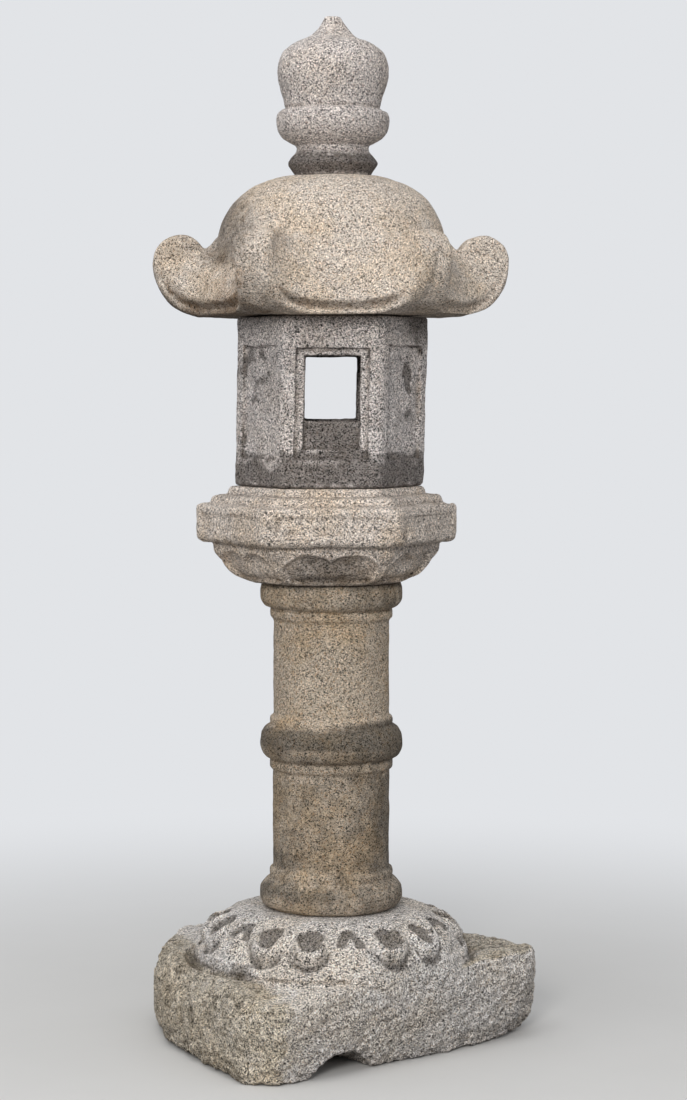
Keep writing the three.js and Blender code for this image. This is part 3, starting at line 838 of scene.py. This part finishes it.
def carve_firebox():
    stone = Stone("firebox", (0, 0), FIREBOX_SEAT, voxel=2.4)
    x, y, z = stone.x, stone.y, stone.z
    top = ROOF_SEAT - FIREBOX_SEAT
    x = upright(x, z)
    across = hexagon(x, y, 0, 9) + 1.6 * (1 - z / top)  # a little narrower at its foot
    body = smooth_max(across - FIREBOX_APOTHEM, np.abs(z - top / 2) - top / 2 + SEAM, 7)
    body = smooth_max(body, CHAMBER_RADIUS - np.hypot(x, y), 3)
    out, aside = folded(x, y, SECTOR / 2)
    depth = FIREBOX_APOTHEM - out
    windowed = np.abs(np.sin(np.arctan2(y, x))) > math.sin(SECTOR)  # the front and the back

    def sunk(shape, to_depth, blend, floor_blend):
        return smooth_max(rectangle(aside, z, shape, blend), depth - to_depth, floor_blend)

    blank = sunk(BLANK_PANEL, BLANK_DEPTH, 4, 2.5) + worn_relief(aside, z)
    frame_cut = sunk(WINDOW_FRAME, FRAME_DEPTH, 3, 1.5)
    step = sunk(WINDOW_STEP, STEP_DEPTH, 3, 2)
    ledge = sunk(WINDOW_LEDGE, LEDGE_DEPTH, 2, 2)
    window = np.minimum(rectangle(aside, z, WINDOW, 4), ledge)
    cuts = np.where(windowed, np.minimum(np.minimum(frame_cut, step), window), blank)
    stone.field = smooth_max(body, -cuts, 2.5)

    def weather(points, normals):
        x, y, z = points.T
        hidden = (z < 1) | (z > top - 1)
        height = rough(points, 51, (80, 1.2), (24, 0.9), (9, 0.6))
        height = np.where(hidden, 0, height - 0.5)
        radius = np.hypot(x, y)
        _, aside = folded(upright(x, z), y, SECTOR / 2)
        windowed = np.abs(y) > radius * math.sin(SECTOR)
        # A sooty foot all round, with flecks and one pale streak, a sooty upper corner, and soot and
        # painted shade in the chamber and on the windows' reveals.
        flecks = ramp(z, 15, 6) * ramp(noise(points, 8, 57), -0.2, 0.3)
        streak = bell(x, -109, 11) * ramp(z, 12, 40)
        foot = (0.55 * ramp(z, 68, 56) + 0.5 * ramp(z, 56, 18)) * (1 - 0.5 * flecks) * (1 - 0.75 * streak)
        inner = ramp(radius, 142, 128)
        corner = bell(np.hypot(x - 160, z - 285), 0, 42)
        # Painted shade lines along the frames' edges and the blank panels' edges, painted shadow on the
        # sill, and soot below the frame.
        frame = rectangle(aside, z, WINDOW_FRAME)
        step = rectangle(aside, z, WINDOW_STEP)
        panel = rectangle(aside, z, BLANK_PANEL)
        frame_lines = bell(np.minimum(np.abs(frame), np.abs(step)), 0, 2.2)
        joints = np.where(windowed, frame_lines, 0.6 * bell(panel, 0, 2.5))
        sill_shade = windowed * ramp(step, 2, -2) * ramp(z, 150, 120)
        frame_foot = windowed * ramp(frame, 3, -3) * ramp(z, 78, 60)
        # Worn clouds, most of all on the blank sides, and a cloud on the left-hand one.
        worn = ramp(rough(points, 55, (34, 0.9), (17, 0.8), (8, 0.5)), -0.3, 1.1) * ramp(z, 262, 235)
        cloud = bell(z, 190, 40) * ramp(-x, 60, 90)
        worn = worn * np.where(windowed, 0.55, 0.75 - 0.25 * ramp(x, 60, 90)) + 0.4 * cloud
        # On the right-hand front side a pale edge and two dark hollows, one above the other.
        pale = bell(x, 104, 6) * ramp(z, 110, 130) * ramp(z, 185, 165)
        drop = np.hypot((x - 133 + 0.12 * (z - 200)) / 8, (z - 190) / 26)
        drop = drop + rough(points, 58, (14, 0.35), (7, 0.2))
        lower_drop = np.hypot((x - 137) / 9, (z - 125) / 12)
        marks = ramp(drop, 1.2, 0.7) + 0.5 * ramp(lower_drop, 1.3, 0.6) - 0.6 * pale
        soot_and_shade = foot + 0.9 * corner + 0.6 * inner + 0.5 * joints + 0.4 * sill_shade + 0.8 * worn
        soot_and_shade = soot_and_shade + 0.45 * frame_foot + np.where(y < 0, marks, 0)
        height = height - 2.0 * np.where(y < 0, ramp(drop, 1.1, 0.6), 0)
        return height, soot_and_shade, np.full(len(points), 0.1)

    stone.finish(
        weather, "grey_granite", offset=4.1,
        mica=(0.06, 0.058, 0.055), quartz=(0.42, 0.39, 0.375), feldspar=(0.79, 0.73, 0.70),
        warm=(0.52, 0.43, 0.39), shares=(0.21, 0.40, 0.73, 0.80), pits=0.06,
        warmth=0.12, dusk=0.6, grime=0.8, lichen=(0.28, 0.27, 0.26),
    )


# Roof: circles that the side view of a scroll follows, each by its middle's radius and height and its
# own size.
BELLY = (212, 107, 104.5)
CURL = (268.5, 98, 47.5)
EAVE_RADIUS = 242
SPIRAL_PITCH = 5.5  # millimetres out for each radian
PIT = np.array([-92.0, -150.0, 205.0])  # the one large pit on the dome


def eave_lift(x, y):
    """(rise, nearness) of the eaves towards the corners: its height in millimetres, and 1 at a corner."""
    across = hexagon(x, y, ROOF_TURN, 1)
    nearness = np.clip((np.hypot(x, y) / np.maximum(across, 1) - 1) / (CORNER - 1), 0, 1)
    return 60 * np.minimum(nearness, 0.8) ** 1.5 * ramp(across, 170, 240), nearness


def carve_roof():
    stone = Stone("roof", (0, 0), ROOF_SEAT, voxel=3.2)
    x, y, z = stone.x, stone.y, stone.z
    top = FINIAL_SEAT - ROOF_SEAT
    belly_out, belly_up, belly_size = BELLY
    curl_out, curl_up, curl_size = CURL
    radius, height = stone.radius, stone.height
    dome = turned([
        (CORE, 60), (206, 60), (206, 117),
        *curve([(205.5, 122), (202, 147), (196, 165), (184, 187), (168, 208.5), (142, 229),
                (116, 240.5)]),
        *curve([(116, 240.5), (96, 246.5), (72, top)]), (CORE, top),
    ], radius, height)
    across = hexagon(x, y, ROOF_TURN, 5) + 0 * z
    out, aside = folded(x, y, ROOF_TURN)
    lift, towards_corner = eave_lift(x, y)
    # Six-sided at the eaves and round where the panels run up into the dome.
    sweep = across + (radius - across) * ramp(height - lift, 62, 125)
    skirt = turned([
        (CORE, 3), (234, 3), (235.5, 8), *curve([(238, 12), (243, 17), (248.5, 22)]),
        *curve([(250, 26), (245, 38), (236, 56), (224, 82), (214, 108), (206, 132)]),
        (196, 140), (CORE, 140),
    ], sweep, height - lift)
    rim = smooth_max(across - EAVE_RADIUS, np.abs(z - 3.5) - 3.6, 2)
    # Towards the corners the hollow under the panels' lips fills up.
    plug_reach = EAVE_RADIUS - 6 + 11 * ramp(towards_corner, 0.45, 0.8)
    plug = smooth_max(across - plug_reach, np.abs(z - 32) - 32, 4)
    body = smooth_min(smooth_min(dome, skirt, 6), smooth_min(rim, plug, 3), 3)

    scroll_side = turned([
        (120, 1.5), (belly_out, 1.5),
        *arc(belly_out, belly_up, belly_size, -88, -6, 16),
        *arc(curl_out, curl_up, curl_size, 0, 150, 16),
        (223, 119), (207, 134), (120, 140),
    ], np.maximum(out, 100) + 0 * z, height)
    # The eave's undercut runs on along the scroll's belly, and a worn line winds into the curl.
    from_belly = belly_size - np.hypot(out - belly_out, z - belly_up)
    along = ramp(out, 215, 316)
    band = ramp(from_belly, 4 - along, 8 - 2 * along) * ramp(from_belly, 27 - 15 * along, 20 - 10 * along)
    band = band * ramp(z, 112, 80) * ramp(out, 225, 280)
    from_curl = np.hypot(out - curl_out, z - curl_up)
    winding = from_curl - SPIRAL_PITCH * (np.arctan2(z - curl_up, out - curl_out) + math.pi)
    turns = (6, 6 + math.pi * SPIRAL_PITCH)
    spiral = sum(ramp(np.abs(winding - turn), 4, 1) for turn in turns)
    width = 33 - 2.5 * band - 0.7 * spiral * ramp(from_curl, 40, 32)
    scroll = smooth_max(scroll_side, np.abs(aside) - width, 9)
    # The scroll swells into the body below and stands free of it above, and at its flanks.
    flank = ramp(np.abs(aside), 12, 30) * ramp(np.abs(x), 200, 160)
    stone.field = smooth_min(body, scroll, 10 + 46 * ramp(height - 38 * flank, 122, 84))
    # At the corners the underside follows the scrolls' bellies.
    reach = radius - 30 * (1 - towards_corner)
    from_middle = np.hypot(np.maximum(reach - belly_out, 0), z - belly_up)
    under = from_middle - belly_size - 2.2 * ramp(reach, 240, belly_out)
    stone.trim(np.where(z < belly_up, under, -99), 3)
    stone.trim(z - top, 1)
    stone.trim(SEAM - z, 3)
    stone.bore(FINIAL_TENON_RADIUS, top, -1)

    def weather(points, normals):
        x, y, z = points.T
        hidden = (np.hypot(x, y) < 66) | (z < 0.8)
        height = rough(points, 61, (110, 2.2), (40, 1.0), (14, 0.5), (7, 0.35))
        height = height - 6 * bell(np.linalg.norm(points - PIT, axis=1), 0, 7)
        height = np.where(hidden, np.minimum(height, 0) * 0.2, height - 0.5)
        lift, towards_corner = eave_lift(x, y)
        out, _ = folded(x, y, ROOF_TURN)
        from_belly = belly_size - np.hypot(np.maximum(out - belly_out, 0), z - belly_up)
        # Shade under the panels' lips, along the scrolls' bellies and round the foot.
        eave = ramp(z - lift, 29, 21) * ramp(z, 5, 9)
        eave = eave * ramp(from_belly, 2, 6) * ramp(towards_corner, 0.9, 0.6)
        along = ramp(from_belly, 3, 7) * ramp(from_belly, 26, 12) * ramp(out, 225, 255) * ramp(z, 110, 70)
        along = along * ramp(np.abs(x), 130, 210)
        foot = ramp(z, 42, 4) * ramp(np.abs(x), 80, 120) * (1 - eave)
        eave = eave * (1 - 0.6 * ramp(np.abs(x), 120, 180))
        # The left side is darker, most of all where the dome meets the scroll.
        left = ramp(-x, 60, 200)
        shady = bell(x, -175, 60) * ramp(z, 235, 190) * ramp(z, 70, 110) * ramp(y, 60, -40)
        # Painted shade on the faces that look down.
        downward_shade = ramp(-normals[:, 2], 0.3, 0.8)
        stain = bell(np.hypot(x + 80, z - 22), 0, 20) * (y < 0)
        soot_and_shade = 0.42 * eave + 0.14 * along + 0.33 * foot + 0.4 * left + 0.35 * shady
        soot_and_shade = soot_and_shade + 0.2 * downward_shade + 0.35 * stain
        # The rust mask takes the painted shade under the lips, along the bellies and round the foot too.
        rust_and_shade = 0.2 * left + 0.4 * eave + 0.16 * along + 0.2 * foot
        rust_and_shade = rust_and_shade + 0.25 * bell(np.hypot(x + 170, z - 60), 0, 60)
        return height, soot_and_shade, rust_and_shade

    stone.finish(
        weather, "beige_granite", offset=5.3,
        mica=(0.13, 0.11, 0.09), quartz=(0.50, 0.435, 0.375), feldspar=(0.72, 0.635, 0.55),
        warm=(0.60, 0.46, 0.35), warmth=0.4, dusk=0.25, grime=0.5,
    )


def carve_finial():
    stone = Stone("finial", centre_of("finial"), FINIAL_SEAT, voxel=2.3)
    x, y, z = stone.x, stone.y, stone.z
    top = seat_of("finial", 1) - FINIAL_SEAT
    outline = [
        (CORE, TENON_END), (FINIAL_TENON_RADIUS, TENON_END), (FINIAL_TENON_RADIUS, SEAM),
        # The foot ring and the neck.
        (67, SEAM), *curve([(76, 13), (80.5, 21), (77, 29), (70, 38)]), (65.5, 43), (65, 51),
        # The collar.
        *curve([(68, 54), (79, 60), (92, 71), (99.5, 85), (101.5, 100), (99, 110), (92, 116.5)]),
        (84, 118),
        # The jewel.
        *curve([(86, 124), (88.5, 137), (94, 155), (98.5, 173), (99, 189), (95.5, 206), (86, 222),
                (67, 236), (44, 246), (32, 256), (21.5, 270), (15.5, top - 2)]),
        (12, top), (CORE, top),
    ]
    stone.field = turned(outline, stone.radius, stone.height)

    def weather(points, normals):
        x, y, z = points.T
        hidden = (z < 0.8) | (np.hypot(x, y) < FINIAL_TENON_RADIUS + 3) & (z < 4)
        height = rough(points, 71, (60, 1.4), (22, 1.0), (8, 0.6))
        wave = rough(points, 75, (30, 1.6)) * bell(z, 118, 6)
        height = np.where(hidden, 0, height + wave - 0.5)
        # The foot ring is black with soot, but for pale flecks along its edges.
        edges = bell(z, 33, 2.5) + 0.7 * ramp(z, 8, 3)
        flecks = ramp(noise(points, 5, 77), -0.1, 0.35) * edges
        # Painted shade under the collar, on the neck and the collar's lower half, and a painted shadow
        # line where the collar meets the jewel.
        neck_shade = ramp(z, 58, 44) * ramp(z, -6, 2)
        soot_and_shade = 1.1 * bell(z, 19, 17, 4) * (1 - 0.7 * flecks) + 0.12 * neck_shade + 0.2 * ramp(z, 80, 62)
        soot_and_shade = soot_and_shade + 0.3 * bell(z, 118, 5)
        rust_and_shade = 0.22 * ramp(z, 92, 60)
        return height, soot_and_shade, rust_and_shade

    stone.finish(
        weather, "speckled_granite", offset=6.7,
        mica=(0.09, 0.08, 0.08), quartz=(0.41, 0.37, 0.35), feldspar=(0.73, 0.665, 0.62),
        warm=(0.52, 0.42, 0.37), shares=(0.21, 0.4, 0.73, 0.8),
        warmth=0.2, dusk=0.3, lichen=(0.2, 0.19, 0.18),
    )


# --- Floor, light and camera ------------------------------------------------------------------

BACKGROUND = (0.76, 0.775, 0.80)
AMBIENT = 0.7  # the world's strength as a light. The camera sees it at 1.
FLOOR_BOUNCE = (0.22, 0.21, 0.20)  # the floor's colour to light, so that it throws little back up
FLOOR_GLOW = 0.3  # the far floor's strength as a light
FLOOR_NEAR, FLOOR_FAR = 0.5, 2.6  # where the floor starts and ends fading into the background, in metres
AIM = (0, 0, 0.9)  # the lights point here


def make_floor():
    """A plain pale disc that fades into the background."""
    rings, segments, reach = 24, 96, 14.0  # the rings are closer together near the stone
    points, faces = [(0, 0, 0)], []
    for ring in range(1, rings + 1):
        radius = reach * (ring / rings) ** 2
        for segment in range(segments):
            angle = 2 * math.pi * segment / segments
            points.append((radius * math.cos(angle), radius * math.sin(angle), 0))
    for segment in range(segments):
        after = (segment + 1) % segments
        faces.append((0, 1 + segment, 1 + after))
        for ring in range(rings - 1):
            inner, outer = 1 + ring * segments, 1 + (ring + 1) * segments
            faces.append((inner + segment, outer + segment, outer + after, inner + after))
    mesh = bpy.data.meshes.new("floor")
    mesh.from_pydata(points, [], faces)
    s = Shader("pale_floor")
    place = s.node("TexCoord").outputs["Object"]
    distance = s.node("VectorMath", {0: place}, operation="LENGTH").outputs["Value"]
    far = s.step(distance, FLOOR_NEAR, FLOOR_FAR)
    mottled = s.mix(s.noise(place, 3.0, 5.0), (0.70, 0.69, 0.67), (0.75, 0.74, 0.72))
    seen = s.node("LightPath").outputs["Is Camera Ray"]
    mottled = s.mix(seen, FLOOR_BOUNCE, mottled)
    matt = s.node("BsdfPrincipled", {"Base Color": mottled, "Roughness": 0.9, "Specular IOR Level": 0.1})
    strength = s.node("MapRange", {"Value": seen, "To Min": FLOOR_GLOW}).outputs["Result"]
    glow = s.node("Emission", {"Color": (*BACKGROUND, 1), "Strength": strength})
    surface = s.node("MixShader", {0: far, 1: matt.outputs[0], 2: glow.outputs[0]})
    s.node("OutputMaterial", {"Surface": surface.outputs[0]})
    mesh.materials.append(s.material)
    floor = bpy.data.objects.new("floor", mesh)
    bpy.context.scene.collection.objects.link(floor)


def make_light(name, place, size, power, colour):
    """A round soft light that points at the middle of the lantern."""
    data = bpy.data.lights.new(name, "AREA")
    data.shape, data.size, data.energy, data.color = "DISK", size, power, colour
    light = bpy.data.objects.new(name, data)
    light.location = place
    light.rotation_euler = (Vector(AIM) - Vector(place)).to_track_quat("-Z", "Y").to_euler()
    bpy.context.scene.collection.objects.link(light)


def make_world():
    """The background that the camera sees, and a dimmer one that lights the stone."""
    world = bpy.data.worlds.new("studio")
    world.use_nodes = True
    tree = world.node_tree
    background = tree.nodes["Background"]
    background.inputs["Color"].default_value = (*BACKGROUND, 1)
    seen = tree.nodes.new("ShaderNodeLightPath").outputs["Is Camera Ray"]
    strength = tree.nodes.new("ShaderNodeMapRange")
    strength.inputs["To Min"].default_value = AMBIENT
    tree.links.new(seen, strength.inputs["Value"])
    tree.links.new(strength.outputs["Result"], background.inputs["Strength"])
    bpy.context.scene.world = world


CAMERA_PLACE = (-0.055, -4.881, 1.180)  # in metres, at the height of the window
CAMERA_TURN = (math.radians(90), 0, 0)
CAMERA_LENS, CAMERA_SENSOR = 90, 36
CAMERA_SHIFT = (0.0395, -0.159)


def make_camera():
    """Level, with the frame shifted down over the lantern."""
    data = bpy.data.cameras.new("camera")
    data.lens, data.sensor_width = CAMERA_LENS, CAMERA_SENSOR
    data.shift_x, data.shift_y = CAMERA_SHIFT
    camera = bpy.data.objects.new("camera", data)
    camera.location, camera.rotation_euler = CAMERA_PLACE, CAMERA_TURN
    bpy.context.scene.collection.objects.link(camera)
    bpy.context.scene.camera = camera


make_camera()
make_world()
make_floor()
make_light("key", place=(-0.72, -4.8, 2.2), size=1.2, power=105, colour=(1.0, 0.985, 0.96))
make_light("top", place=(-0.6, -1.6, 4.2), size=2.6, power=40, colour=(0.97, 0.985, 1.0))
bpy.context.scene.view_settings.view_transform = "Standard"

carve_base()
carve_shaft()
carve_platform()
carve_firebox()
carve_roof()
carve_finial()
